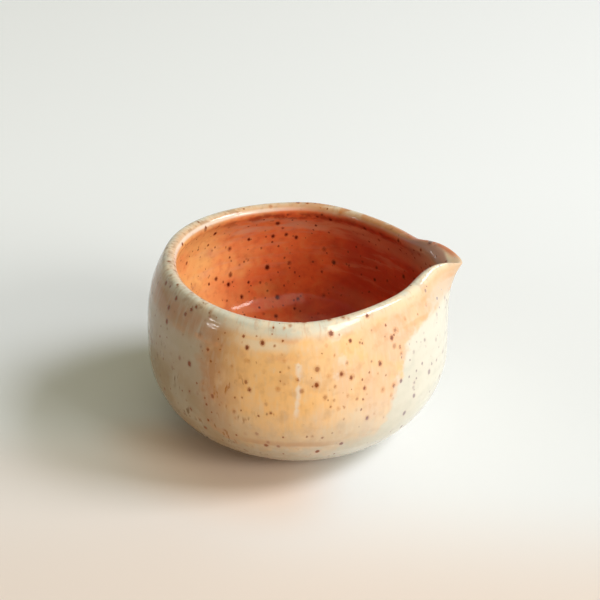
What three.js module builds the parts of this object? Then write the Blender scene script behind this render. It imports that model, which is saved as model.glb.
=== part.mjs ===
// Tea pitcher: a stoneware bowl thrown in one piece, with a pouring spout pulled out of its rim
// while the clay was soft. It has no handle and no lid. After the first firing it was dipped in
// a pale glaze outside and lined with a darker one inside.
// Millimetres, +Z up. The foot stands on z = 0, and the spout points along +X.

import * as THREE from 'three';
import { mergeVertices } from 'three/addons/utils/BufferGeometryUtils.js';

// Bowl, in fired clay without its glaze
const rimHeight = 56;
const rimRadius = 39.9;
const lipThickness = 3.7;
const rimLean = THREE.MathUtils.degToRad(32.8);
const bellyRadius = 46.9;
const bellyHeight = 27.1;
const wallThickness = 4.4;
const floorHeight = 5.5;

// Roundness of the wall: how far its line runs straight on from a point before it bends away
const shoulderRun = 10.2;
const aboveBellyRun = 11.1;
const belowBellyRun = 11.9;
const footRun = 13.6;
const floorRun = 26;

// Foot ring, trimmed when the clay was leather-hard
const footRadius = 23.8;
const footHeight = 2.5;
const footWidth = 4;
const footBevel = 0.5;
const recessDepth = 1.8;
const recessSlope = 1;

// Spout, and what pulling it does to the bowl
const spoutReach = 9.4;
const spoutHalfWidth = 7.3;
const spoutDepth = 23.7;
const spoutCurl = 3.3;
const spoutRoot = 10;
const flankRise = 2.4;
const flankOffset = 7.2;
const cheekPinch = 6;
const backRise = 1.9;

// Glaze: the bare line above the foot, and how far the outer coat runs over the lip
const glazeThickness = 0.5;
const bareClay = 1.4;
const glazeEdge = 0.5;
const lapInside = 2.5;

// Faces round the bowl, crowded towards the spout, and along each stretch of the wall
const columns = 64;
const crowding = 0.5;
const lowerWallSteps = 7;
const upperWallSteps = 6;
const lipSteps = 5;
const floorSteps = 7;

// The line of the wall, from the foot up the outside, over the lip and down to the middle of
// the floor, as plane curves with the radius in x and the height in y
function wallCurves() {
  const point = (radius, height) => new THREE.Vector2(radius, height);
  const bend = (...points) => new THREE.CubicBezierCurve(...points);
  const lipRadius = lipThickness / 2;
  const lipHeight = rimHeight - lipRadius;
  const across = point(lipRadius * Math.cos(rimLean), lipRadius * Math.sin(rimLean));
  const along = point(shoulderRun * Math.sin(rimLean), -shoulderRun * Math.cos(rimLean));
  const rimOutside = point(rimRadius, lipHeight).add(across);
  const rimInside = point(rimRadius, lipHeight).sub(across);
  const insideRadius = bellyRadius - wallThickness;
  return {
    lowerOutside: bend(
      point(footRadius, footHeight),
      point(footRadius + footRun, footHeight),
      point(bellyRadius, bellyHeight - belowBellyRun),
      point(bellyRadius, bellyHeight),
    ),
    upperOutside: bend(
      point(bellyRadius, bellyHeight),
      point(bellyRadius, bellyHeight + aboveBellyRun),
      rimOutside.clone().add(along),
      rimOutside,
    ),
    lip: new THREE.EllipseCurve(
      rimRadius, lipHeight, lipRadius, lipRadius, rimLean, rimLean + Math.PI,
    ),
    upperInside: bend(
      rimInside,
      rimInside.clone().add(along),
      point(insideRadius, bellyHeight + aboveBellyRun),
      point(insideRadius, bellyHeight),
    ),
    lowerInside: bend(
      point(insideRadius, bellyHeight),
      point(insideRadius, bellyHeight - belowBellyRun),
      point(floorRun, floorHeight),
      point(0, floorHeight),
    ),
  };
}

// Points of the clay along a stretch of a curve, each with the glaze's surface over it
function sampled(curve, start, end, steps) {
  const length = curve.getLength();
  return Array.from({ length: steps + 1 }, (_, step) => {
    const share = THREE.MathUtils.lerp(start, end, step / steps) / length;
    const clay = curve.getPointAt(share);
    const along = curve.getTangentAt(share);
    const glaze = new THREE.Vector2(along.y, -along.x).multiplyScalar(glazeThickness).add(clay);
    glaze.x = clay.x > 0 ? glaze.x : 0;
    return { clay, glaze };
  });
}

// The wall in three stretches: bare clay by the foot, under the outer coat, and under the liner
function wallStretches() {
  const curves = wallCurves();
  const lengthOf = (name) => curves[name].getLength();
  const whole = (name, steps) => sampled(curves[name], 0, lengthOf(name), steps).slice(1);
  const fullCoat = bareClay + glazeEdge;
  return {
    bare: sampled(curves.lowerOutside, 0, bareClay, 1),
    outside: [
      ...sampled(curves.lowerOutside, bareClay, fullCoat, 1),
      ...sampled(curves.lowerOutside, fullCoat, lengthOf('lowerOutside'), lowerWallSteps).slice(1),
      ...whole('upperOutside', upperWallSteps),
      ...whole('lip', lipSteps),
      ...sampled(curves.upperInside, 0, lapInside, 1).slice(1),
    ],
    inside: [
      ...sampled(curves.upperInside, lapInside, lengthOf('upperInside'), upperWallSteps),
      ...whole('lowerInside', floorSteps),
    ],
  };
}

// Where a point of the thrown bowl ends up. Within the spout's width the wall is drawn out,
// more and more towards the rim. Beside it the rim is drawn up, the cheeks behind it are
// pressed in, and the back of the rim is left a little higher.
function pulled(radius, height, angle) {
  const { smoothstep, clamp } = THREE.MathUtils;
  const x = radius * Math.cos(angle);
  const pressed = (cheekPinch / rimRadius) * smoothstep(x, 0, rimRadius) * smoothstep(height, 0, rimHeight);
  const y = radius * Math.sin(angle) * (1 - pressed);
  const upSpout = Math.max(0, 1 - (rimHeight - height) / spoutDepth);
  const inFront = smoothstep(x, 0, spoutRoot);
  const flank = (y / flankOffset) ** 2;
  const drawnOut = spoutReach * Math.exp(-((y / spoutHalfWidth) ** 2)) * upSpout ** spoutCurl * inFront;
  const drawnUp = flankRise * flank * Math.exp(1 - flank) * upSpout ** 2 * inFront;
  const atBack = backRise * clamp(-x / rimRadius, 0, 1) ** 2 * upSpout;
  return [x + drawnOut, y, height + drawnUp + atBack];
}

// A closed section turned round the axis, each column of it pulled as above
function turned(section) {
  const lathe = new THREE.LatheGeometry(section, columns);
  const place = lathe.getAttribute('position');
  for (let i = 0; i < place.count; i += 1) {
    const column = Math.floor(i / section.length) % columns;
    const turn = (column / columns) * 2 * Math.PI;
    const { x: radius, y: height } = section[i % section.length];
    place.setXYZ(i, ...pulled(radius, height, turn - crowding * Math.sin(turn)));
  }
  lathe.deleteAttribute('normal');
  lathe.deleteAttribute('uv');
  return withShortDiagonals(mergeVertices(lathe));
}

// Every four-sided face is split along its shorter diagonal, so that both coats meet the clay
// face to face and the two sides of the pitcher mirror each other
function withShortDiagonals(geometry) {
  const place = geometry.getAttribute('position');
  const corner = (index) => new THREE.Vector3().fromBufferAttribute(place, index);
  const faces = [];
  for (let i = 0; i < geometry.index.count; i += 6) {
    const [a, b, d, c] = geometry.index.array.slice(i, i + 4);
    const shorter = corner(a).distanceTo(corner(c)) < corner(b).distanceTo(corner(d));
    faces.push(...(shorter ? [[a, b, c], [a, c, d]] : [[a, b, d], [b, c, d]]));
  }
  geometry.setIndex(faces.filter(([p, q, r]) => p !== q && q !== r && r !== p).flat());
  geometry.computeVertexNormals();
  return geometry;
}

function mesh(name, section, finish) {
  const piece = new THREE.Mesh(turned(section), new THREE.MeshStandardMaterial(finish));
  piece.name = name;
  return piece;
}

const footCorner = (radius, height) => new THREE.Vector2(radius, height);
const recessRadius = footRadius - footWidth;
const footSection = [
  footCorner(0, recessDepth),
  footCorner(recessRadius - recessSlope, recessDepth),
  footCorner(recessRadius, footBevel),
  footCorner(recessRadius + footBevel, 0),
  footCorner(footRadius - footBevel, 0),
  footCorner(footRadius, footBevel),
];
const { bare, outside, inside } = wallStretches();
const clayOf = (stretch) => stretch.map((sample) => sample.clay);
const glazeOf = (stretch) => stretch.map((sample) => sample.glaze);

// Fired stoneware: the wall, the floor, the trimmed foot ring and the spout in one piece
const claySection = [
  ...footSection,
  ...clayOf(bare),
  ...clayOf(outside).slice(1),
  ...clayOf(inside).slice(1),
];

// Outer coat, thinning to nothing at the bare line above the foot, and over the lip
const outsideSection = [
  outside[0].clay,
  ...glazeOf(outside).slice(1),
  ...clayOf(outside).reverse(),
];

// Liner, poured in and out again, from the outer coat's edge to the middle of the floor
const insideSection = [
  ...clayOf(inside).reverse(),
  ...glazeOf(inside),
];

const pitcher = new THREE.Group();
pitcher.add(
  mesh('clay_body', claySection, { color: 0xc4a585, roughness: 0.85, metalness: 0 }),
  mesh('outside_glaze', outsideSection, { color: 0xe6c8a0, roughness: 0.15, metalness: 0 }),
  mesh('inside_glaze', insideSection, { color: 0xb4512c, roughness: 0.12, metalness: 0 }),
);

// The origin is at the height of the foot's face, midway between the back of the belly and the
// tip of the spout
const bounds = new THREE.Box3().setFromObject(pitcher);
pitcher.position.x = -(bounds.min.x + bounds.max.x) / 2;

const group = new THREE.Group();
group.add(pitcher);

export default group;
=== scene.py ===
import math

import bpy
import numpy as np
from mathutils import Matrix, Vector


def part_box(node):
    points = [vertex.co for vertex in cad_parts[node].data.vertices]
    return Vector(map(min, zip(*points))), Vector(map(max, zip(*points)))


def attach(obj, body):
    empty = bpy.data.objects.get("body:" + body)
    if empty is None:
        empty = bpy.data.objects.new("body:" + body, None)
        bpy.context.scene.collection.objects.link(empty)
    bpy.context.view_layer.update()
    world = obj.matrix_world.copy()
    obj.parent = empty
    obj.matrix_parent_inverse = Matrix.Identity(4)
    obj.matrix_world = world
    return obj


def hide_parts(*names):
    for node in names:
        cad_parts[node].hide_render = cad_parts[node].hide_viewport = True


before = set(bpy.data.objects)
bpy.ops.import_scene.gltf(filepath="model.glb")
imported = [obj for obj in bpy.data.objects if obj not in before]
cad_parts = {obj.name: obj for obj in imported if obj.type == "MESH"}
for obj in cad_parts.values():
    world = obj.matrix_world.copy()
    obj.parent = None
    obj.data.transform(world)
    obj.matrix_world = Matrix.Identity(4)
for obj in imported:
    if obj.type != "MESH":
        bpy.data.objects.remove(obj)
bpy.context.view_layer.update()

# Clay body. Iron-bearing stoneware, thrown on the wheel as one round bowl. Its foot ring was
# trimmed out of the leather-hard base, and its spout was pulled out of the soft rim between two
# fingers. It shows bare at the foot.
rim_height = 0.0560
rim_radius = 0.0399
lip_thickness = 0.0037
rim_lean = math.radians(32.8)
belly_radius = 0.0469
belly_height = 0.0271
wall_thickness = 0.0044
floor_height = 0.0055
shoulder_run = 0.0102
above_belly_run = 0.0111
below_belly_run = 0.0119
foot_run = 0.0136
floor_run = 0.0260
foot_radius = 0.0238
foot_height = 0.0025
foot_width = 0.0040
foot_round = 0.0006
recess_depth = 0.0018
recess_slope = 0.0010
spout_reach = 0.0094
spout_half_width = 0.0073
spout_depth = 0.0237
spout_curl = 3.3
spout_root = 0.0100
flank_rise = 0.0024
flank_offset = 0.0072
cheek_pinch = 0.0060
back_rise = 0.0019
glaze_thickness = 0.0005
bare_clay = 0.0014
coat_edge = 0.0016
lap_inside = 0.0025
axis_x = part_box("outside_glaze")[0].x + belly_radius + glaze_thickness

# What the potter's hands and tools left in it
ring_pitch = 0.0042
slow_ring_pitch = 1.62 * ring_pitch
slow_ring_share = 0.8
ring_height_inside = 0.000035
ring_height_outside = 0.00003
rings_clear_of_crest = 0.004
rings_full_after = 0.006
rings_full_above_foot = 0.012
rings_full_from_middle = 0.014
groove_below_crest = 0.0046
groove_half_width = 0.0008
groove_depth = 0.00005
rim_wobble = 0.00010
trimming_pitch = 0.0011
trimming_share = 0.35
grit_strength = 0.35
grit_height = 0.0003

# Steps along each curve of the wall, columns round the bowl and how they crowd at the spout, rows
# round a corner of the foot, and the angle from which an edge is sharp
curve_steps = 400
columns = 240
crowding = 0.5
corner_rows = 7
sharp_from = math.radians(50)

clay_brown = (0.40, 0.22, 0.11, 1.0)
clay_light = (0.58, 0.37, 0.21, 1.0)
clay_toasted = (0.30, 0.12, 0.05, 1.0)
iron_dark = (0.045, 0.014, 0.008, 1.0)

# Layers of specks: cells per metre, radius in cells, share of cells, strength of core and halo
clay_specks = [(330.0, 0.16, 0.80, 0.95, 0.40)]

# How frayed and how upright a speck is, its least radius, where its core and its halo fade in
# radii, and between which random values it is faint and full
speck_fray = 0.0005
speck_fray_waves = 2200.0
speck_upright = 0.78
speck_least_radius = 0.0001
speck_core_edge = (1.12, 0.60)
speck_halo_edge = (1.75, 0.90)
speck_faint_to_full = (-0.5, 0.4)


def bend(start, lead, arrive, end):
    """A cubic curve without its first point: its four corners, weighted by (1-t)^3, 3t(1-t)^2,
    3t^2(1-t) and t^3."""
    t = np.linspace(0, 1, curve_steps + 1)[1:, None]
    corners = [np.array(corner) for corner in (start, lead, arrive, end)]
    weights = [(1 - t) ** 3, 3 * t * (1 - t) ** 2, 3 * t**2 * (1 - t), t**3]
    return sum(weight * corner for weight, corner in zip(weights, corners))


def wall_line():
    """The wall in radius and height, from the foot up the outside, over the lip and down to the
    middle of the floor: two curves up to the lip, a half circle square to the leaning rim, and
    two curves down again."""
    half = lip_thickness / 2
    middle = np.array([rim_radius, rim_height - half])
    across = half * np.array([math.cos(rim_lean), math.sin(rim_lean)])
    along = shoulder_run * np.array([math.sin(rim_lean), -math.cos(rim_lean)])
    inside = belly_radius - wall_thickness
    over_lip = np.linspace(rim_lean, rim_lean + math.pi, curve_steps + 1)[1:]
    foot = (foot_radius, foot_height)
    belly_out = (belly_radius, belly_height)
    belly_in = (inside, belly_height)
    above_belly = belly_height + above_belly_run
    below_belly = belly_height - below_belly_run
    return np.vstack([
        [foot],
        bend(foot, (foot_radius + foot_run, foot_height), (belly_radius, below_belly), belly_out),
        bend(belly_out, (belly_radius, above_belly), middle + across + along, middle + across),
        middle + half * np.column_stack([np.cos(over_lip), np.sin(over_lip)]),
        bend(middle - across, middle - across + along, (inside, above_belly), belly_in),
        bend(belly_in, (inside, below_belly), (floor_run, floor_height), (0, floor_height)),
    ])


wall = wall_line()
wall_steps = np.linalg.norm(np.diff(wall, axis=0), axis=1)
wall_distance = np.concatenate([[0], np.cumsum(wall_steps)])
wall_slope = np.gradient(wall, wall_distance, axis=0)
wall_slope /= np.linalg.norm(wall_slope, axis=1)[:, None]
curve_ends = wall_distance[curve_steps::curve_steps]
foot_to_belly, foot_to_rim, foot_to_inside, foot_to_floor_bend, foot_to_middle = curve_ends
upright = math.pi / 2 - rim_lean
foot_to_crest = np.interp(upright, [0, math.pi], [foot_to_rim, foot_to_inside])


def ease(share):
    """The smooth step 3s^2 - 2s^3, held at 0 and 1 beyond its ends."""
    held = np.clip(share, 0, 1)
    return held**2 * (3 - 2 * held)


def bell(distance, half_width):
    """The bell curve e^-(d/w)^2."""
    return np.exp(-((distance / half_width) ** 2))


def pulled(radius, height, angle):
    """Where a point of the round bowl ends up once the spout is pulled. Within the spout's width,
    which fades as a bell curve, the wall is drawn out by a power of the height. Beside it the rim
    is drawn up, the cheeks behind it are pressed in, and the back of the rim stands a little
    higher."""
    x = radius * np.cos(angle)
    y = radius * np.sin(angle)
    y = y * (1 - cheek_pinch / rim_radius * ease(x / rim_radius) * ease(height / rim_height))
    up_spout = np.maximum(0, 1 - (rim_height - height) / spout_depth)
    in_front = ease(x / spout_root)
    flank = (y / flank_offset) ** 2
    drawn_out = spout_reach * bell(y, spout_half_width) * up_spout**spout_curl * in_front
    drawn_up = flank_rise * flank * np.exp(1 - flank) * up_spout**2 * in_front
    at_back = back_rise * np.clip(-x / rim_radius, 0, 1) ** 2 * up_spout
    return np.stack([axis_x + x + drawn_out, y, height + drawn_up + at_back], axis=-1)


def on_wall(distance, angle, lift):
    """Points a distance along the wall's line and an angle round the bowl, lifted off the clay.
    The potter's fingers leave two shallow spirals, sines of the distance over a pitch plus the
    angle, which fade out at the lip, at the foot and in the middle of the floor. The rib leaves a
    groove under the lip, a bell curve of the distance from the lip's crest. By hand, the rim is
    never quite level: a sum of two slow sines of the angle."""
    radius = np.interp(distance, wall_distance, wall[:, 0])
    height = np.interp(distance, wall_distance, wall[:, 1])
    slope_out = np.interp(distance, wall_distance, wall_slope[:, 0])
    slope_up = np.interp(distance, wall_distance, wall_slope[:, 1])
    below_crest = foot_to_crest - distance
    ring_height = np.where(below_crest < 0, ring_height_inside, ring_height_outside)
    from_lip = ease((np.abs(below_crest) - rings_clear_of_crest) / rings_full_after)
    from_ends = ease(distance / rings_full_above_foot) * ease(radius / rings_full_from_middle)
    rings = np.sin(2 * math.pi * distance / ring_pitch + angle)
    slow_rings = np.sin(2 * math.pi * distance / slow_ring_pitch + angle + 1.0)
    both_rings = rings + slow_ring_share * slow_rings
    groove = groove_depth * bell(below_crest - groove_below_crest, groove_half_width)
    offset = lift + ring_height * from_lip * from_ends * both_rings - groove
    waves = np.sin(2 * angle + 0.7) + 0.6 * np.sin(5 * angle)
    level = rim_wobble * ease(height / rim_height) * waves
    away = np.maximum(radius + slope_up * offset, 0)
    return pulled(away, height - slope_out * offset + level, angle)


turn = np.arange(columns) / columns * 2 * math.pi
angles = (turn - crowding * np.sin(turn))[:, None]


def shell(name, points, crest, poles):
    """A closed mesh from a grid of points, columns round the axis and rows along a section. The
    section either closes on itself or starts and ends in a pole on the axis. Each point keeps its
    distance from the lip's crest, which is below zero inside the bowl."""
    count, rows = points.shape[:2]
    ring = np.arange(count * rows).reshape(count, rows)
    if poles:
        ring[:, 0] = ring[0, 0]
        ring[:, -1] = ring[0, -1]
    beside = np.roll(ring, -1, axis=0)
    here, there = (ring[:, :-1], beside[:, :-1]), (ring[:, 1:], beside[:, 1:])
    if not poles:
        here, there = (ring, beside), (np.roll(ring, -1, axis=1), np.roll(beside, -1, axis=1))
    quads = np.stack([here[0], here[1], there[1], there[0]], axis=-1).reshape(-1, 4)
    used, quads = np.unique(quads, return_inverse=True)
    quads = quads.reshape(-1, 4)
    at_start = quads[:, 0] == quads[:, 1]
    at_end = quads[:, 2] == quads[:, 3]
    whole = quads[~at_start & ~at_end].tolist()
    first = quads[at_start][:, [0, 2, 3]].tolist()
    last = quads[at_end][:, [0, 1, 2]].tolist()
    mesh = bpy.data.meshes.new(name)
    mesh.from_pydata(points.reshape(-1, 3)[used].tolist(), [], whole + first + last)
    kept = mesh.attributes.new("crest", "FLOAT", "POINT")
    kept.data.foreach_set("value", crest.reshape(-1)[used])
    mesh.shade_smooth()
    mesh.set_sharp_from_angle(angle=sharp_from)
    piece = bpy.data.objects.new(name, mesh)
    bpy.context.collection.objects.link(piece)
    return piece


def rows_between(start, end, steps):
    """Evenly spaced distances along the wall, without the first."""
    return np.linspace(start, end, steps + 1)[1:]


coat_rows = np.concatenate([
    [bare_clay],
    bare_clay + rows_between(0, coat_edge, steps=8),
    rows_between(bare_clay + coat_edge, foot_to_belly, steps=30),
    rows_between(foot_to_belly, foot_to_rim, steps=60),
    rows_between(foot_to_rim, foot_to_inside, steps=22),
    rows_between(foot_to_inside, foot_to_inside + lap_inside, steps=5),
])
liner_rows = np.concatenate([
    rows_between(foot_to_inside + lap_inside, foot_to_floor_bend, steps=30),
    rows_between(foot_to_floor_bend, foot_to_middle, steps=34),
])


def rounded_corner(radius, height, start, end):
    """A quarter turn about a point of the foot's section, between two angles in degrees."""
    around = np.radians(np.linspace(start, end, corner_rows))
    return np.column_stack([radius + foot_round * np.cos(around),
                            height + foot_round * np.sin(around)])


inner_foot = foot_radius - foot_width
recess_radii = np.array([0, inner_foot / 2, inner_foot - recess_slope])
foot_section = np.vstack([
    np.column_stack([recess_radii, np.full(len(recess_radii), recess_depth)]),
    rounded_corner(inner_foot + foot_round, foot_round, 180, 270),
    rounded_corner(foot_radius - foot_round, foot_round, 270, 360),
])
foot_points = pulled(foot_section[:, 0], foot_section[:, 1], angles)
wall_rows = np.concatenate([[0, bare_clay / 2], coat_rows, liner_rows])
clay_points = np.concatenate([foot_points, on_wall(wall_rows, angles, 0)], axis=1)
clay_crest = np.concatenate([np.full(len(foot_section), foot_to_crest), foot_to_crest - wall_rows])
clay_crest = np.broadcast_to(clay_crest, clay_points.shape[:2])
clay_body = shell("pitcher_clay", clay_points, clay_crest, poles=True)


def place(tree, kind, inputs, **settings):
    """Adds a node, sets its options, and gives each named or numbered input a value or another
    node's output."""
    node = tree.nodes.new(kind)
    for option, value in settings.items():
        setattr(node, option, value)
    for socket, value in inputs.items():
        if isinstance(value, bpy.types.NodeSocket):
            tree.links.new(value, node.inputs[socket])
        else:
            node.inputs[socket].default_value = value
    return node


def math_of(tree, operation, *values):
    """The result of one arithmetic node."""
    return place(tree, "ShaderNodeMath", dict(enumerate(values)), operation=operation).outputs[0]


def times(tree, *values):
    """The product of all values."""
    product = values[0]
    for value in values[1:]:
        product = math_of(tree, "MULTIPLY", product, value)
    return product


def times_plus(tree, value, factor, added):
    """A value times a factor, plus another value."""
    return math_of(tree, "MULTIPLY_ADD", value, factor, added)


def minus(tree, value, taken):
    """One value less another."""
    return math_of(tree, "SUBTRACT", value, taken)


def vector_of(tree, operation, *values):
    """The outputs of one vector node."""
    node = place(tree, "ShaderNodeVectorMath", dict(enumerate(values)), operation=operation)
    return node.outputs


def stretched(tree, vector, x, y, z):
    """Coordinates times a factor on each axis. A small factor draws a pattern out that way."""
    return vector_of(tree, "MULTIPLY", vector, (x, y, z))[0]


def level_of(tree, vector):
    """Coordinates with their height taken out."""
    return stretched(tree, vector, 1.0, 1.0, 0.0)


def axes_of(tree, vector):
    """The X, Y and Z of a vector."""
    return place(tree, "ShaderNodeSeparateXYZ", {"Vector": vector}).outputs


def fade(tree, value, low, high):
    """0 below low, 1 above high and a smooth step between, or the other way round where low is
    above high."""
    inputs = {"Value": value, "From Min": low, "From Max": high}
    node = place(tree, "ShaderNodeMapRange", inputs, interpolation_type="SMOOTHSTEP")
    return node.outputs["Result"]


def band(tree, value, start, full, still_full, end):
    """0 outside start and end, 1 between the two inner values, and smooth between."""
    return times(tree, fade(tree, value, start, full), fade(tree, value, end, still_full))


def noise(tree, vector, scale, detail):
    """Soft noise from 0 to 1, its scale in waves per metre."""
    inputs = {"Vector": vector, "Scale": scale, "Detail": detail}
    return place(tree, "ShaderNodeTexNoise", inputs).outputs["Fac"]


def sway(tree, vector, scale, detail):
    """Soft noise from -0.5 to 0.5."""
    return minus(tree, noise(tree, vector, scale, detail), 0.5)


def laid_over(tree, under, over, *masks):
    """One colour laid over another by the product of the masks and plain strengths."""
    inputs = {"Factor": times(tree, *masks), 6: under, 7: over}
    return place(tree, "ShaderNodeMix", inputs, data_type="RGBA").outputs[2]


def new_group(name, inputs, outputs):
    """An empty shader node group with named inputs and outputs."""
    tree = bpy.data.node_groups.new(name, "ShaderNodeTree")
    for side, sockets in (("INPUT", inputs), ("OUTPUT", outputs)):
        for socket, kind in sockets.items():
            tree.interface.new_socket(socket, in_out=side, socket_type=f"NodeSocket{kind}")
    given = tree.nodes.new("NodeGroupInput").outputs
    made = tree.nodes.new("NodeGroupOutput").inputs
    return tree, given, made


def iron_specks_group():
    """Grains of iron: upright eggs scattered through space, one in each cell, cut by the surface.
    Their radius is drawn from the cell's random value, and cells below the share have none. Core
    is the grain, Halo its rust."""
    tree, given, made = new_group(
        "Iron specks",
        {"Vector": "Vector", "Cells per metre": "Float", "Radius in cells": "Float",
         "Share": "Float"},
        {"Core": "Float", "Halo": "Float"},
    )
    fray = {"Vector": given["Vector"], "Scale": speck_fray_waves, "Detail": 1.0}
    ragged = place(tree, "ShaderNodeTexNoise", fray).outputs["Color"]
    moved = stretched(tree, ragged, speck_fray, speck_fray, speck_fray)
    moved = vector_of(tree, "ADD", given["Vector"], moved)[0]
    spot = {"Vector": stretched(tree, moved, 1.0, 1.0, speck_upright),
            "Scale": given["Cells per metre"]}
    cells = place(tree, "ShaderNodeTexVoronoi", spot).outputs
    luck = place(tree, "ShaderNodeSeparateColor", {"Color": cells["Color"]}).outputs
    least = minus(tree, 1.0, given["Share"])
    over = math_of(tree, "MAXIMUM", minus(tree, luck["Red"], least), 0.0)
    size = math_of(tree, "POWER", math_of(tree, "DIVIDE", over, given["Share"]), 0.5)
    radius = times_plus(tree, size, given["Radius in cells"], speck_least_radius)
    ratio = math_of(tree, "DIVIDE", cells["Distance"], radius)
    exists = math_of(tree, "GREATER_THAN", over, 0.0)
    strong = times(tree, exists, fade(tree, luck["Green"], *speck_faint_to_full))
    tree.links.new(times(tree, fade(tree, ratio, *speck_core_edge), strong), made["Core"])
    tree.links.new(times(tree, fade(tree, ratio, *speck_halo_edge), strong), made["Halo"])
    return tree


iron_specks = iron_specks_group()


def speckled(tree, where, colour, layers, core_colour, halo_colour):
    """Layers of iron specks over a colour, each a grain on its halo of rust."""
    for cells, radius, share, core_strength, halo_strength in layers:
        inputs = {"Vector": where, "Cells per metre": cells, "Radius in cells": radius,
                  "Share": share}
        specks = place(tree, "ShaderNodeGroup", inputs, node_tree=iron_specks).outputs
        colour = laid_over(tree, colour, halo_colour, specks["Halo"], halo_strength)
        colour = laid_over(tree, colour, core_colour, specks["Core"], core_strength)
    return colour


def new_material(name):
    """A material with its Principled shader, and the object coordinates moved so that the bowl's
    axis is at zero."""
    material = bpy.data.materials.new(name)
    material.use_nodes = True
    tree = material.node_tree
    spot = tree.nodes.new("ShaderNodeTexCoord").outputs["Object"]
    where = vector_of(tree, "SUBTRACT", spot, (axis_x, 0.0, 0.0))[0]
    return material, tree, tree.nodes["Principled BSDF"].inputs, where


def bumped(tree, height, strength, distance):
    """A surface's normals, bent by fine relief of a height in metres."""
    inputs = {"Height": height, "Strength": strength, "Distance": distance}
    return place(tree, "ShaderNodeBump", inputs).outputs["Normal"]


def clay_material():
    """Bare fired stoneware: warm brown, mottled, dotted with iron, gritty, and with the fine rings
    of the trimming tool, which are a sine of the radius."""
    material, tree, surface, where = new_material("bare_stoneware")
    surface["Roughness"].default_value = 0.82
    colour = laid_over(tree, clay_brown, clay_light, noise(tree, where, 180.0, 4.0))
    toasted = fade(tree, noise(tree, where, 60.0, 2.0), 0.50, 0.70)
    colour = laid_over(tree, colour, clay_toasted, toasted, 0.6)
    colour = speckled(tree, where, colour, clay_specks, iron_dark, clay_toasted)
    tree.links.new(colour, surface["Base Color"])
    radius = vector_of(tree, "LENGTH", level_of(tree, where))["Value"]
    rings = math_of(tree, "SINE", times(tree, radius, 2 * math.pi / trimming_pitch))
    uneven = times(tree, rings, noise(tree, where, 250.0, 2.0))
    grit = times_plus(tree, uneven, trimming_share, noise(tree, where, 2200.0, 4.0))
    tree.links.new(bumped(tree, grit, grit_strength, grit_height), surface["Normal"])
    return material


clay_body.data.materials.append(clay_material())
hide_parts("clay_body")
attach(clay_body, "root")

# Liner. A red-orange glossy glaze, poured into the bowl and out again, so that it covers the
# inside up to the lip. It is orange away from the spout and deep red towards it, partly its own
# colour and partly painted light and shade: the key lamp lights the inner wall away from the
# spout, and the wall towards it lies in shade. It is milky in a band under the rim.
liner_red = (0.43, 0.045, 0.030, 1.0)
liner_vermilion = (0.86, 0.20, 0.065, 1.0)
liner_orange = (0.90, 0.47, 0.16, 1.0)
liner_milk = (0.72, 0.40, 0.26, 1.0)
spout_milk = (0.50, 0.33, 0.25, 1.0)
line_red = (0.30, 0.050, 0.022, 1.0)
liner_iron = (0.12, 0.014, 0.004, 1.0)
liner_specks = [
    (520.0, 0.17, 0.45, 0.65, 0.40),
    (430.0, 0.17, 0.55, 0.90, 0.50),
    (260.0, 0.185, 1.00, 1.00, 0.65),
]

# Where its marks start, are full, are still full and end, down from the lip's crest, and where the
# spout's milky channel ends and is full
red_line_depths = (0.0022, 0.0034, 0.0046, 0.0066)
high_milk_depths = (0.0040, 0.0060, 0.0095, 0.0150)
low_milk_depths = (0.0100, 0.0160, 0.0240, 0.0330)
channel_depths = (0.016, 0.006)

# Where they lie across the bowl, from the back to the spout
# The first two are partly painted light and shade: orange on the lit wall, red in shade by the
# spout
lit_orange_to_vermilion = (-0.036, -0.010)
vermilion_to_shaded_red = (-0.002, 0.021)
red_line_across = (-0.038, -0.010)
milk_streaks_across = (-0.034, -0.012, 0.004, 0.034)
even_milk_across = (0.006, 0.022)
channel_across = (0.028, 0.041)

cloud_reach = 0.055
streak_sway = 0.0035
wavy_height = 0.0011
wavy_strength = 0.20
ripple_share = 0.14
glaze_gloss = 0.38
duller_by = 0.06


def along_wall(tree, where, crest, round_scale, down_scale):
    """Coordinates that follow the wall: the direction round the bowl, as a point on a circle as
    large as the belly, and the distance from the lip's crest. A small scale draws a pattern out
    that way."""
    direction = vector_of(tree, "NORMALIZE", level_of(tree, where))[0]
    circle = belly_radius * round_scale
    down = place(tree, "ShaderNodeCombineXYZ", {"Z": times(tree, crest, down_scale)}).outputs[0]
    return vector_of(tree, "ADD", stretched(tree, direction, circle, circle, 0.0), down)[0]


def mottled(tree, colour, where, scale, darker, paler, strength):
    """A colour broken up by noise, a darker one in its hollows and a paler one on its heights."""
    grain = noise(tree, where, scale, 4.0)
    colour = laid_over(tree, colour, darker, fade(tree, grain, 0.50, 0.30), strength)
    return laid_over(tree, colour, paler, fade(tree, grain, 0.50, 0.70), strength)


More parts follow.
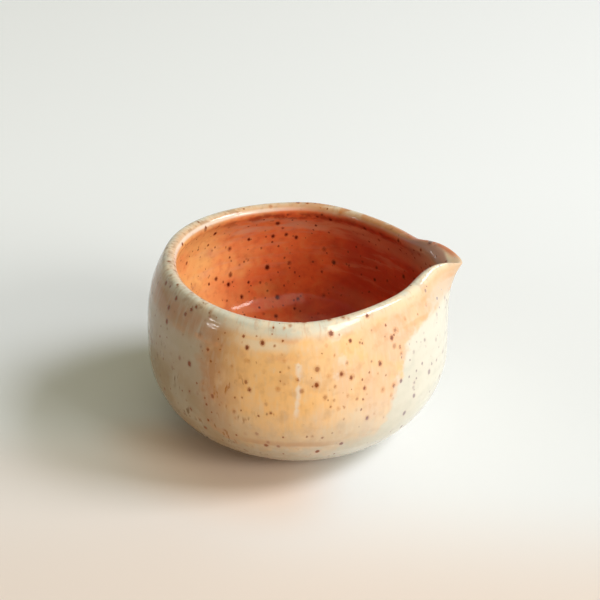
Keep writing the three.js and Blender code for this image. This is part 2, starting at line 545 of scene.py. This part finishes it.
def liner_colour_group():
    """The liner's colour by place. Across the bowl it goes from orange to red, in soft clouds,
    partly its own colour and partly painted light away from the spout and painted shade towards it.
    Below the crest come a red line where the glaze breaks over the inside of the lip, then milky
    streaks that the poured glaze left round the wall. The spout's channel is milky too."""
    tree, given, made = new_group(
        "Liner colour", {"Vector": "Vector", "Crest": "Float"}, {"Color": "Color"})
    where, crest = given["Vector"], given["Crest"]
    across = axes_of(tree, where)["X"]
    cloudy = times_plus(tree, sway(tree, where, 42.0, 3.0), cloud_reach, across)
    # Partly painted light and shade: orange on the lit wall, deep red on the shaded wall by the
    # spout
    vermilion = fade(tree, cloudy, *lit_orange_to_vermilion)
    colour = laid_over(tree, liner_orange, liner_vermilion, vermilion)
    colour = mottled(tree, colour, where, 90.0, liner_vermilion, liner_orange, 0.35)
    colour = mottled(tree, colour, where, 420.0, liner_red, liner_orange, 0.22)
    colour = laid_over(tree, colour, liner_red, fade(tree, cloudy, *vermilion_to_shaded_red), 0.90)
    colour = mottled(tree, colour, where, 150.0, line_red, liner_vermilion, 0.16)

    depth = times_plus(tree, sway(tree, where, 70.0, 2.0), streak_sway, times(tree, crest, -1.0))
    streaks = noise(tree, along_wall(tree, where, crest, 0.30, 1.5), 260.0, 4.0)
    high = band(tree, depth, *high_milk_depths)
    low = band(tree, depth, *low_milk_depths)
    in_streaks = times(tree, high, fade(tree, streaks, 0.36, 0.60),
                       band(tree, across, *milk_streaks_across))
    colour = laid_over(tree, colour, liner_milk, in_streaks, 0.80)
    colour = laid_over(tree, colour, liner_milk, high, fade(tree, across, *even_milk_across), 0.36)
    colour = laid_over(tree, colour, liner_milk, low, fade(tree, streaks, 0.50, 0.68), 0.24)

    broken = fade(tree, noise(tree, where, 260.0, 4.0), 0.38, 0.58)
    red_line = times(tree, band(tree, depth, *red_line_depths), broken,
                     fade(tree, across, *red_line_across))
    colour = laid_over(tree, colour, line_red, red_line, 0.70)
    channel = times(tree, fade(tree, across, *channel_across),
                    fade(tree, depth, *channel_depths))
    colour = laid_over(tree, colour, spout_milk, channel, 0.85)
    tree.links.new(colour, made["Color"])
    return tree


liner_colour = liner_colour_group()


def crest_distance(tree):
    """The distance from the lip's crest that each point of a piece keeps."""
    return place(tree, "ShaderNodeAttribute", {}, attribute_name="crest").outputs["Fac"]


def liner_colour_at(tree, where, crest):
    """The liner's colour in a material."""
    inputs = {"Vector": where, "Crest": crest}
    return place(tree, "ShaderNodeGroup", inputs, node_tree=liner_colour).outputs["Color"]


def glaze_surface(tree, where, surface, smoothest):
    """A glaze's own gloss: it is a little wavy, as a thick liquid that has set, and duller in some
    places."""
    ripple = noise(tree, where, 620.0, 1.0)
    waves = times_plus(tree, ripple, ripple_share, noise(tree, where, 130.0, 2.0))
    tree.links.new(bumped(tree, waves, wavy_strength, wavy_height), surface["Normal"])
    surface["Specular IOR Level"].default_value = glaze_gloss
    dull = fade(tree, noise(tree, where, 90.0, 3.0), 0.25, 0.8)
    tree.links.new(times_plus(tree, dull, duller_by, smoothest), surface["Roughness"])


def liner_material():
    """The liner glaze with the clay's iron specks bled through it."""
    material, tree, surface, where = new_material("red_liner_glaze")
    colour = liner_colour_at(tree, where, crest_distance(tree))
    colour = speckled(tree, where, colour, liner_specks, liner_iron, line_red)
    tree.links.new(colour, surface["Base Color"])
    glaze_surface(tree, where, surface, smoothest=0.10)
    return material


under_liner = np.concatenate([[coat_rows[-1]], liner_rows])
liner_lift = np.repeat([0, glaze_thickness], len(under_liner))
liner_section = np.concatenate([under_liner[::-1], under_liner])
liner_points = on_wall(liner_section, angles, liner_lift)
liner_crest = np.broadcast_to(foot_to_crest - liner_section, liner_points.shape[:2])
liner = shell("pitcher_liner_glaze", liner_points, liner_crest, poles=True)
liner.data.materials.append(liner_material())
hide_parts("inside_glaze")
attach(liner, "root")

# Outer coat. A pale celadon-cream glaze, put on in two dips from the sides, which leaves a thin
# peach flash on the front and the back. It ends in a rolled edge above the bare foot and laps over
# the lip onto the liner.
edge_wander = 0.0005
edge_wander_power = 6
edge_roll = 0.0012
edge_bead = 0.00012
cream_light = (0.73, 0.69, 0.57, 1.0)
# Painted shade: the cream browned and darkened where less light falls, to the left and low down
cream_painted_shade = (0.39, 0.26, 0.135, 1.0)
cream_grey = (0.62, 0.60, 0.49, 1.0)
smear_brown = (0.38, 0.20, 0.10, 1.0)
dash_brown = (0.19, 0.095, 0.030, 1.0)
dash_orange = (0.46, 0.15, 0.010, 1.0)
peach_deep = (0.98, 0.55, 0.195, 1.0)
peach_light = (0.87, 0.57, 0.31, 1.0)
peach_rose = (0.81, 0.50, 0.31, 1.0)
# Painted shade on the flash's left side
peach_painted_shade = (0.50, 0.24, 0.095, 1.0)
flash_edge = (0.60, 0.28, 0.11, 1.0)
lip_beige = (0.84, 0.71, 0.51, 1.0)
lip_green = (0.71, 0.67, 0.53, 1.0)
lip_peach = (0.70, 0.40, 0.20, 1.0)
lip_brown = (0.50, 0.33, 0.19, 1.0)
lip_rust = (0.60, 0.26, 0.095, 1.0)
# Partly a painted highlight: the pale inner edge of the lip
pale_edge_highlight_colour = (0.94, 0.80, 0.66, 1.0)
spout_edge_red = (0.54, 0.12, 0.035, 1.0)
line_orange = (0.82, 0.35, 0.12, 1.0)
line_brown = (0.48, 0.22, 0.09, 1.0)
run_pale = (0.92, 0.78, 0.64, 1.0)
speck_brown = (0.24, 0.048, 0.001, 1.0)
speck_grey = (0.36, 0.29, 0.28, 1.0)
rust = (0.64, 0.22, 0.045, 1.0)
cream_rust = (0.66, 0.56, 0.46, 1.0)
cream_stain = (0.34, 0.20, 0.11, 1.0)
coat_specks = [
    (300.0, 0.20, 0.50, 0.40, 0.40),
    (430.0, 0.17, 0.60, 0.90, 0.50),
    (265.0, 0.21, 1.00, 1.00, 0.60),
]

# The flash: its sides as cosines of the angle round the bowl, its height in metres
flash_left_slope, flash_left_foot = 2.0, -0.67
flash_left_softness = (-0.06, 0.07)
flash_right_slope, flash_right_foot, flash_right_end = 8.4, 0.42, 0.955
flash_right_softness = (-0.02, 0.04)
flash_shoulder = (0.043, 0.053)
flash_shoulder_reach = 0.25
flash_bottom = (0.0130, 0.0180)
flash_gathering = (0.019, 0.033)
flash_left_rise = 0.007
flash_left_rise_sides = (-0.25, -0.75)
flash_fine_fray = 0.50
flash_side_fray = 0.20
flash_bottom_fray = 0.014
peach_light_sides = (0.05, 0.42)
peach_rose_sides = (0.40, 0.70)
rosy_runs_sides = (-0.15, 0.30)
# Where painted shade darkens the flash on the left
peach_shade_sides = (-0.24, -0.56)

# Where marks start and are full, and where four values are given, where they are still full and
# end: by height above the foot, by side, which is the cosine of the angle round the bowl, by depth
# down the outside from the lip's crest, below zero inside, and by the distance from the bowl's
# axis towards the spout or, for the far right, behind it
foot_ring_heights = (0.0166, 0.0174, 0.0182, 0.0200)
foot_ring_sides = (-0.42, -0.22, 0.14, 0.40)
foot_ring_sway = 0.004
bare_line_heights = (0.0030, 0.0008)
# The next two place painted shade low on the left
shade_low_left_heights = (0.032, 0.018)
shade_low_left_sides = (0.10, -0.35)
dash_heights = (0.044, 0.036)
dash_sides = (0.05, -0.30)
flash_outline_sides = (0.5, -0.3)
beige_sides = (-0.45, -0.25, -0.12, 0.10)
beige_depths = (0.0046, 0.0058, 0.0068, 0.0092)
high_line_depths = (0.0036, 0.0046, 0.0050, 0.0064)
high_line_sides = (-0.25, 0.05)
low_line_depths = (0.0088, 0.0096, 0.0100, 0.0114)
# Partly painted shade: the brown band under the lip on the left
brown_stripe_shade_depths = (0.0028, 0.0044, 0.0070, 0.0140)
brown_stripe_shade_sides = (-0.46, -0.66)
spout_from = (0.028, 0.038)
nose_from = (0.0445, 0.0485)
# The next two place painted shade under the curled lip of the spout
shade_under_nose_from = (0.034, 0.041)
shade_under_nose_depths = (0.0014, 0.0034, 0.0075, 0.0130)
worn_depths = (-0.0034, -0.0020, 0.0020, 0.0044)
worn_sides = (0.0, -0.70)
red_edge_depths = (-0.0014, -0.0005, 0.0003, 0.0014)
# The next two place a pale line on the lip's inner edge, partly a painted highlight
pale_edge_highlight_depths = (-0.0027, -0.0021, -0.0018, -0.0012)
pale_edge_highlight_from = (0.010, -0.020)
lip_depths = (0.0060, 0.0026)
lip_sway = 0.0030
brown_comb_sides = (-0.35, -0.80)
# Partly painted shade: the lip's outer side browner on the left
outer_left_brown_shade_sides, outer_left_brown_shade_depths = (-0.30, -0.65), (0.0006, 0.0036)
outer_right_sides, outer_right_depths = (0.20, 0.65), (0.0, 0.0030)
far_right_sides, far_right_behind = (-0.45, 0.35), (0.004, 0.014)
inner_turn_depths = (0.0006, -0.0018)
nose_lip_depths = (0.0034, 0.0014)
brown_speck_sides = (0.6, 0.1)
stained_sides = (0.4, -0.6)
turn_down = -0.0016
turn_down_in_spout = 0.0018
turn_down_at_nose = -0.0034
turn_down_width = 0.0018

# Pale runs: middle, half width, bottom, top and strength
pale_runs = [
    (0.0016, 0.0016, 0.026, 0.050, 0.70),
    (0.0137, 0.0055, 0.036, 0.055, 0.45),
]
run_bow = 0.0050
run_tail = 0.006
run_head = 0.003


def coat_points():
    """The coat's section closed on itself: out along its surface, and back along the clay. Its
    lower edge wanders round the foot as a sum of three sines, times a power of the rest of the way
    up the wall. Its thickness rises there as a quarter ellipse, with a low bead behind."""
    waves = np.sin(3 * angles + 1.0) + 0.6 * np.sin(7 * angles) + 0.3 * np.sin(13 * angles + 2.0)
    share = (coat_rows - coat_rows[0]) / (coat_rows[-1] - coat_rows[0])
    rows = coat_rows + edge_wander * waves * (1 - share) ** edge_wander_power
    into = np.clip((coat_rows - coat_rows[0]) / edge_roll, 0, 1)
    bead = edge_bead * np.sin(math.pi * into) ** 2
    lift = glaze_thickness * np.sqrt(1 - (1 - into) ** 2) + bead
    distance = np.concatenate([rows, rows[:, :0:-1]], axis=1)
    thickness = np.concatenate([lift, np.zeros(len(lift) - 1)])
    return on_wall(distance, angles, thickness), foot_to_crest - distance


def flash_group():
    """Where the coat is thin and fires peach, on the front and mirrored on the back. Its left edge
    is nearly upright and its right edge leans to the spout. Its lower edge is higher on the left,
    the colour gathers slowly above it, and noise of two sizes frays all three. Side is the cosine
    of the angle round the bowl. Edge is 1 along the outline: four times the mask times its rest."""
    tree, given, made = new_group(
        "Peach flash", {"Vector": "Vector"},
        {"Flash": "Float", "Edge": "Float", "Side": "Float", "Height": "Float"})
    where = given["Vector"]
    height = axes_of(tree, where)["Z"]
    direction = vector_of(tree, "NORMALIZE", level_of(tree, where))[0]
    side = axes_of(tree, direction)["X"]
    fine, broad = sway(tree, where, 420.0, 4.0), sway(tree, where, 70.0, 3.0)
    loose = times_plus(tree, fine, flash_fine_fray, broad)
    moved = times_plus(tree, loose, flash_side_fray, side)
    left_edge = times_plus(tree, height, flash_left_slope, flash_left_foot)
    left = fade(tree, minus(tree, moved, left_edge), *flash_left_softness)
    slant = times_plus(tree, height, flash_right_slope, flash_right_foot)
    shoulder = fade(tree, height, *flash_shoulder)
    right_edge = times_plus(tree, shoulder, flash_shoulder_reach, slant)
    right_edge = math_of(tree, "MINIMUM", right_edge, flash_right_end)
    right = fade(tree, minus(tree, right_edge, moved), *flash_right_softness)
    raised = times_plus(tree, loose, flash_bottom_fray, height)
    leftward = fade(tree, side, *flash_left_rise_sides)
    raised = times_plus(tree, leftward, -flash_left_rise, raised)
    outline = times(tree, left, right, fade(tree, raised, *flash_bottom))
    gathered = times_plus(tree, fade(tree, raised, *flash_gathering), 0.60, 0.40)
    tree.links.new(times(tree, outline, gathered), made["Flash"])
    rest = times_plus(tree, outline, -4.0, 4.0)
    tree.links.new(times(tree, outline, rest), made["Edge"])
    tree.links.new(side, made["Side"])
    tree.links.new(height, made["Height"])
    return tree


flash = flash_group()


def cream_colour(tree, where, patch, clouds):
    """The cream is pale and cool on the right. Painted shade makes it browner and darker to the
    left, the side away from the lamps, and downwards towards the floor. It has grey clouds and a
    fine mottle."""
    # Painted shade: browner and darker to the left, away from the lamps, and downwards
    leftward = times_plus(tree, patch["Side"], -0.70, times_plus(tree, clouds, 0.5, 0.30))
    downward = times_plus(tree, patch["Height"], -16.0, 1.35)
    painted_shade = place(tree, "ShaderNodeClamp", {"Value": times(tree, leftward, downward)}).outputs[0]
    colour = laid_over(tree, cream_light, cream_painted_shade, painted_shade)
    grey = fade(tree, noise(tree, where, 60.0, 3.0), 0.46, 0.66)
    colour = laid_over(tree, colour, cream_grey, grey, 0.28)
    rightward = times_plus(tree, fade(tree, patch["Side"], -0.50, 0.30), 0.30, 0.06)
    return mottled(tree, colour, where, 300.0, cream_grey, cream_light, rightward)


def peach_colour(tree, where, side):
    """The flash's colour: deep in the middle, rosy on the right, browner on the left with painted
    shade, mottled and streaked downwards."""
    runs = stretched(tree, where, 1.0, 1.0, 0.18)
    peach = laid_over(tree, peach_deep, peach_light, fade(tree, side, *peach_light_sides), 0.90)
    peach = laid_over(tree, peach, peach_rose, fade(tree, side, *peach_rose_sides), 0.85)
    peach = mottled(tree, peach, where, 65.0, peach_deep, peach_light, 0.80)
    rosy_runs = times(tree, fade(tree, noise(tree, runs, 160.0, 4.0), 0.48, 0.66),
                      fade(tree, side, *rosy_runs_sides))
    peach = laid_over(tree, peach, peach_rose, rosy_runs, 0.50)
    # Painted shade: the flash browner on the left, away from the lamps
    peach = laid_over(tree, peach, peach_painted_shade, fade(tree, side, *peach_shade_sides))
    peach = mottled(tree, peach, where, 230.0, flash_edge, peach_light, 0.35)
    return mottled(tree, peach, runs, 800.0, flash_edge, cream_light, 0.15)


def coat_body_colour(tree, where, patch):
    """The coat below the lip: the cream with the peach flash in it, painted shade low on the left,
    a thin brown ring near the foot, short upright dashes low on the left, and a browner outline
    round the flash."""
    side, height = patch["Side"], patch["Height"]
    clouds = noise(tree, where, 45.0, 4.0)
    colour = cream_colour(tree, where, patch, clouds)
    colour = laid_over(tree, colour, peach_colour(tree, where, side), patch["Flash"], 0.96)
    # Painted shade low on the left, towards the floor
    painted_shade_low_left = times(tree, fade(tree, height, *shade_low_left_heights),
                     fade(tree, side, *shade_low_left_sides))
    colour = laid_over(tree, colour, cream_painted_shade, painted_shade_low_left, 0.12)
    ring = times_plus(tree, minus(tree, clouds, 0.5), foot_ring_sway, height)
    ring = times(tree, band(tree, ring, *foot_ring_heights), band(tree, side, *foot_ring_sides))
    colour = laid_over(tree, colour, line_brown, ring, 0.45)
    dashes = noise(tree, stretched(tree, where, 1.0, 1.0, 0.30), 850.0, 2.0)
    dash = laid_over(tree, dash_brown, dash_orange, patch["Flash"])
    dashed = times(tree, fade(tree, dashes, 0.55, 0.64),
                   fade(tree, noise(tree, where, 120.0, 2.0), 0.49, 0.59),
                   fade(tree, side, *dash_sides), fade(tree, height, *dash_heights))
    colour = laid_over(tree, colour, dash, dashed, 0.85)
    stained = fade(tree, noise(tree, where, 120.0, 4.0), 0.42, 0.62)
    outline = times(tree, patch["Edge"], stained, fade(tree, side, *flash_outline_sides))
    return laid_over(tree, colour, flash_edge, outline, 0.40)


def pale_run(tree, colour, where, middle, half_width, bottom, top, strength):
    """A run of paler glaze down the wall. Its middle is a distance from the bowl's axis towards
    the spout. It bows a little, and it thins and breaks off by noise."""
    apart = axes_of(tree, where)
    bowed = times_plus(tree, sway(tree, where, 55.0, 1.0), run_bow, apart["X"])
    from_middle = math_of(tree, "ABSOLUTE", minus(tree, bowed, middle))
    thinned = times(tree, fade(tree, noise(tree, where, 190.0, 3.0), 0.62, 0.38), half_width)
    across = fade(tree, math_of(tree, "ADD", from_middle, thinned), half_width, 0.0)
    down = band(tree, apart["Z"], bottom, bottom + run_tail, top - run_head, top)
    return laid_over(tree, colour, run_pale, across, down, strength)


def lines_under_lip(tree, colour, where, side, crest, below):
    """What the rib and the dipping left under the lip: a beige band in front and two broken orange
    lines. On the left comes a brown band of fine stripes, partly brown glaze and partly painted
    shade."""
    beige = times(tree, band(tree, below, *beige_depths), band(tree, side, *beige_sides))
    colour = laid_over(tree, colour, lip_beige, beige, 0.60)
    broken = fade(tree, noise(tree, where, 150.0, 4.0), 0.46, 0.66)
    low_line = times(tree, band(tree, below, *low_line_depths), broken)
    colour = laid_over(tree, colour, line_orange, low_line, 0.50)
    high_line = times(tree, band(tree, below, *high_line_depths), broken,
                      fade(tree, side, *high_line_sides))
    colour = laid_over(tree, colour, line_orange, high_line, 0.60)
    # Partly painted shade: brown stripes under the lip on the left, where the shoulder lies in
    # shade
    stripes = noise(tree, along_wall(tree, where, crest, 1.0, 0.12), 700.0, 3.0)
    striped_and_shaded = times(tree, band(tree, below, *brown_stripe_shade_depths),
                    fade(tree, side, *brown_stripe_shade_sides), fade(tree, stripes, 0.10, 0.60))
    return laid_over(tree, colour, line_brown, striped_and_shaded, 0.80)


def lip_colour(tree, where, apart, side, crest, below, in_spout, at_nose):
    """The lip: beige and greenish, combed across with peach and cream, browner on the left, where
    its outer side is partly painted shade, peach on the right and on its inner turn, and rusty on
    the far right."""
    combed = noise(tree, along_wall(tree, where, crest, 1.0, 0.20), 900.0, 4.0)
    green = fade(tree, noise(tree, where, 150.0, 4.0), 0.42, 0.58)
    lip = laid_over(tree, lip_beige, lip_green, green)
    lip = laid_over(tree, lip, lip_peach, fade(tree, combed, 0.54, 0.68), 0.40)
    lip = laid_over(tree, lip, cream_light, fade(tree, combed, 0.46, 0.34), 0.45)
    brown_comb = times(tree, fade(tree, side, *brown_comb_sides), fade(tree, combed, 0.36, 0.66))
    lip = laid_over(tree, lip, lip_brown, brown_comb, 0.42)
    # Partly painted shade, partly brown glaze: the lip's outer side on the left
    outer_left_brown_and_shade = times(tree, fade(tree, side, *outer_left_brown_shade_sides),
                       fade(tree, below, *outer_left_brown_shade_depths))
    lip = laid_over(tree, lip, lip_brown, outer_left_brown_and_shade, 0.85)
    inner_turn = times(tree, fade(tree, below, *inner_turn_depths), minus(tree, 1.0, in_spout))
    lip = laid_over(tree, lip, lip_peach, inner_turn, 0.80)
    outer_right = times(tree, fade(tree, side, *outer_right_sides),
                        fade(tree, below, *outer_right_depths))
    lip = laid_over(tree, lip, peach_light, outer_right, 0.70)
    far_right = times(tree, fade(tree, apart["Y"], *far_right_behind),
                      fade(tree, side, *far_right_sides))
    rusty = fade(tree, noise(tree, where, 210.0, 4.0), 0.34, 0.56)
    lip = laid_over(tree, lip, lip_rust, far_right, rusty, 0.85)
    nose_lip = times(tree, at_nose, fade(tree, below, *nose_lip_depths))
    return laid_over(tree, lip, lip_peach, nose_lip, 0.50)


def speck_colours(tree, patch, side, into_bowl):
    """The specks' grain and rust: brown and rusty in the flash and on the left, grey and pale on
    the right, and dark and red where the coat turns down into the bowl."""
    leftward = fade(tree, side, *brown_speck_sides)
    in_flash = times(tree, patch["Flash"], times_plus(tree, leftward, 0.20, 0.80))
    grain = laid_over(tree, speck_grey, speck_brown, math_of(tree, "MAXIMUM", in_flash, leftward))
    stain = laid_over(tree, cream_rust, cream_stain, fade(tree, side, *stained_sides))
    stain = laid_over(tree, stain, rust, in_flash)
    return (laid_over(tree, grain, liner_iron, into_bowl),
            laid_over(tree, stain, line_red, into_bowl))


def coat_material():
    """The outer glaze: its body and pale runs, the lines under the lip, the lip itself with its
    worn smears and edges, the pale one partly a painted highlight, painted shade under the spout's
    nose, the liner's colour where it turns down into the bowl, the thin brown line above the bare
    clay, and the specks."""
    material, tree, surface, where = new_material("cream_peach_glaze")
    patch = place(tree, "ShaderNodeGroup", {"Vector": where}, node_tree=flash).outputs
    side = patch["Side"]
    colour = coat_body_colour(tree, where, patch)
    for run in pale_runs:
        colour = pale_run(tree, colour, where, *run)

    crest = crest_distance(tree)
    below = times_plus(tree, sway(tree, where, 60.0, 3.0), lip_sway, crest)
    colour = lines_under_lip(tree, colour, where, side, crest, below)
    apart = axes_of(tree, where)
    in_spout = fade(tree, apart["X"], *spout_from)
    at_nose = fade(tree, apart["X"], *nose_from)
    lip = lip_colour(tree, where, apart, side, crest, below, in_spout, at_nose)
    colour = laid_over(tree, colour, lip, fade(tree, below, *lip_depths))
    # Painted shade under the curled lip of the spout
    painted_shade_under_nose = times(tree, fade(tree, apart["X"], *shade_under_nose_from),
                       band(tree, below, *shade_under_nose_depths))
    colour = laid_over(tree, colour, lip_peach, painted_shade_under_nose, 0.52)
    worn = times(tree, fade(tree, noise(tree, where, 330.0, 4.0), 0.52, 0.64),
                 band(tree, crest, *worn_depths),
                 times_plus(tree, fade(tree, side, *worn_sides), 0.60, 0.40))
    colour = laid_over(tree, colour, smear_brown, worn, 0.55)

    turn_depth = times_plus(tree, in_spout, turn_down_in_spout, turn_down)
    turn_depth = times_plus(tree, at_nose, turn_down_at_nose, turn_depth)
    into_bowl = fade(tree, minus(tree, below, turn_depth), 0.0, -turn_down_width)
    colour = laid_over(tree, colour, liner_colour_at(tree, where, crest), into_bowl)
    red_edge = times(tree, band(tree, crest, *red_edge_depths),
                     times(tree, in_spout, fade(tree, apart["Y"], 0.0, 0.004)))
    colour = laid_over(tree, colour, spout_edge_red, red_edge, 0.80)
    # Partly painted highlight, partly glaze breaking pale: the lip's inner edge on the left
    pale_edge_and_highlight = times(tree, band(tree, crest, *pale_edge_highlight_depths),
                      fade(tree, apart["X"], *pale_edge_highlight_from))
    colour = laid_over(tree, colour, pale_edge_highlight_colour, pale_edge_and_highlight, 0.65)
    line_edges = (foot_to_crest - bare_clay - height for height in bare_line_heights)
    colour = laid_over(tree, colour, line_brown, fade(tree, crest, *line_edges), 0.70)

    grain, stain = speck_colours(tree, patch, side, into_bowl)
    colour = speckled(tree, where, colour, coat_specks, grain, stain)
    tree.links.new(colour, surface["Base Color"])
    glaze_surface(tree, where, surface, smoothest=0.07)
    return material


outer_points, outer_crest = coat_points()
outer_coat = shell("pitcher_outer_glaze", outer_points, outer_crest, poles=False)
outer_coat.data.materials.append(coat_material())
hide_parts("outside_glaze")
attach(outer_coat, "root")

# Floor. Plain and pale, a little cooler far from the camera and warmer near it. Painted warm shade
# lies where the bowl's shadow falls at its front left, and painted warm light, bounced off the
# glaze, lies in that shadow near the foot. It isn't part of the object.
floor_half = 2.0
floor_far = (0.97, 0.985, 0.99, 1.0)
floor_near = (0.88, 0.892, 0.888, 1.0)
floor_front = (0.86, 0.745, 0.655, 1.0)
# Painted light: warm light bounced off the glaze onto the shaded floor near the foot
floor_painted_bounce = (0.88, 0.62, 0.43, 1.0)

# Where its tints start and are full, in metres from the bowl's axis
far_depths = (-0.01, 0.20)
front_depths = (-0.036, -0.100)
# Painted warm shade where the bowl's shadow falls at the front left
shade_front_left_depths, shade_front_left_besides = (-0.005, -0.040), (0.010, -0.040)
# Where the painted warm bounce light lies in the bowl's shadow
shadow_depths, shadow_besides, shadow_reaches = (0.0, -0.02), (0.020, -0.006), (0.072, 0.042)


def floor_material():
    """The floor's tints by place: depth is the distance behind the bowl's axis, beside the one to
    its right, and reach the one from it all round."""
    material, tree, surface, where = new_material("pale_floor")
    surface["Roughness"].default_value = 0.9
    apart = axes_of(tree, where)
    beside, depth = apart["X"], apart["Y"]
    reach = vector_of(tree, "LENGTH", where)["Value"]
    colour = laid_over(tree, floor_near, floor_far, fade(tree, depth, *far_depths))
    # Painted warm shade where the bowl's shadow falls at the front left
    painted_shade_front_left = times(tree, fade(tree, depth, *shade_front_left_depths),
                       fade(tree, beside, *shade_front_left_besides))
    colour = laid_over(tree, colour, floor_front, painted_shade_front_left, 0.60)
    colour = laid_over(tree, colour, floor_front, fade(tree, depth, *front_depths))
    # Painted warm light bounced off the glaze, in the bowl's shadow near its foot
    painted_bounce_in_shadow = times(tree, fade(tree, reach, *shadow_reaches),
                      fade(tree, depth, *shadow_depths), fade(tree, beside, *shadow_besides))
    colour = laid_over(tree, colour, floor_painted_bounce, painted_bounce_in_shadow, 0.62)
    tree.links.new(colour, surface["Base Color"])
    return material


floor_signs = ((-1, -1), (1, -1), (1, 1), (-1, 1))
floor_corners = [(x * floor_half, y * floor_half, 0) for x, y in floor_signs]
floor_mesh = bpy.data.meshes.new("floor")
floor_mesh.from_pydata(floor_corners, [], [(0, 1, 2, 3)])
floor_mesh.materials.append(floor_material())
floor = bpy.data.objects.new("floor", floor_mesh)
bpy.context.collection.objects.link(floor)

# Lights. The soft daylight of a window on the right: a key light and, nearer the camera, a fill
# light and a broad pale one. A small lamp at the left and one over the bowl lift its shadows. The
# room itself is dim, and only its low, pale walls are seen. They aren't part of the object.
window_distance = 2.40
daylight = (0.96, 0.99, 1.08)
soft_daylight = (1.0, 0.98, 0.94)
warm_daylight = (1.0, 0.97, 0.90)
plain_white = (1.0, 1.0, 1.0)
ceiling_glow = (1.0, 0.97, 0.66)
room_glow = (1.0, 0.96, 0.68, 1.0)
room_strength = 0.15
wall_colour = (0.80, 0.81, 0.78, 1.0)
wall_top = (0.60, 0.30)


def area_light(name, azimuth, elevation, distance, size, power, colour):
    """A rectangular lamp that faces the bowl, at angles in degrees round the vertical from +X and
    above the floor."""
    around, rise = math.radians(azimuth), math.radians(elevation)
    level = math.cos(rise)
    toward = np.array([level * math.cos(around), level * math.sin(around), math.sin(rise)])
    lamp = bpy.data.lights.new(name, "AREA")
    lamp.shape = "RECTANGLE"
    lamp.size, lamp.size_y = size
    lamp.energy = power
    lamp.color = colour
    holder = bpy.data.objects.new(name, lamp)
    holder.location = np.array([axis_x, 0, belly_height]) + distance * toward
    holder.rotation_euler = (math.pi / 2 - rise, 0, around + math.pi / 2)
    bpy.context.collection.objects.link(holder)


area_light("key_light", 0.0, 43.0, window_distance, (0.90, 0.90), 38.4, daylight)
area_light("fill_light", -34.0, 26.0, window_distance, (0.85, 0.65), 19.8, soft_daylight)
area_light("side_light", -60.0, 30.0, window_distance, (2.60, 1.80), 14.0, warm_daylight)
area_light("small_light", -154.0, 17.0, 1.60, (0.15, 0.05), 0.6, plain_white)
area_light("ceiling_light", 100.0, 78.0, 1.20, (1.20, 1.20), 2.0, ceiling_glow)
world = bpy.data.worlds.new("room")
world.use_nodes = True
room = world.node_tree
room_light = room.nodes["Background"]
room_light.inputs["Color"].default_value = room_glow
room_light.inputs["Strength"].default_value = room_strength
walls = place(room, "ShaderNodeBackground", {"Color": wall_colour, "Strength": 1.0})
ray = room.nodes.new("ShaderNodeLightPath").outputs
seen = math_of(room, "MAXIMUM", ray["Is Camera Ray"], ray["Is Glossy Ray"])
seen = math_of(room, "MAXIMUM", seen, ray["Is Transmission Ray"])
looking = axes_of(room, room.nodes.new("ShaderNodeTexCoord").outputs["Generated"])
on_walls = times(room, seen, fade(room, looking["Z"], *wall_top))
seen_room = {0: on_walls, 1: room_light.outputs[0], 2: walls.outputs[0]}
both = place(room, "ShaderNodeMixShader", seen_room)
room.links.new(both.outputs[0], room.nodes["World Output"].inputs["Surface"])
bpy.context.scene.world = world

# Camera. It stands at the photograph's viewing angle, in front of the bowl and above its rim, with
# the spout to the right. The bowl's outline was fitted to that view.
camera_distance = 0.500
camera_elevation = math.radians(29.18)
camera_turn = math.radians(1.98)
camera_focal_mm = 95.5
sensor_width_mm = 36.0
aim_side = 0.00067
aim_height = 0.04183
right = np.array([math.cos(camera_turn), math.sin(camera_turn), 0])
back = np.array([math.sin(camera_turn), -math.cos(camera_turn), 0])
up = np.array([0, 0, 1])
toward_camera = math.cos(camera_elevation) * back + math.sin(camera_elevation) * up
aim = np.array([axis_x, 0, aim_height]) + aim_side * right
camera_data = bpy.data.cameras.new("camera")
camera_data.sensor_width = sensor_width_mm
camera_data.lens = camera_focal_mm
camera = bpy.data.objects.new("camera", camera_data)
camera.location = aim + camera_distance * toward_camera
camera.rotation_euler = (math.pi / 2 - camera_elevation, 0, camera_turn)
bpy.context.collection.objects.link(camera)
bpy.context.scene.camera = camera
bpy.context.scene.view_settings.view_transform = "Standard"
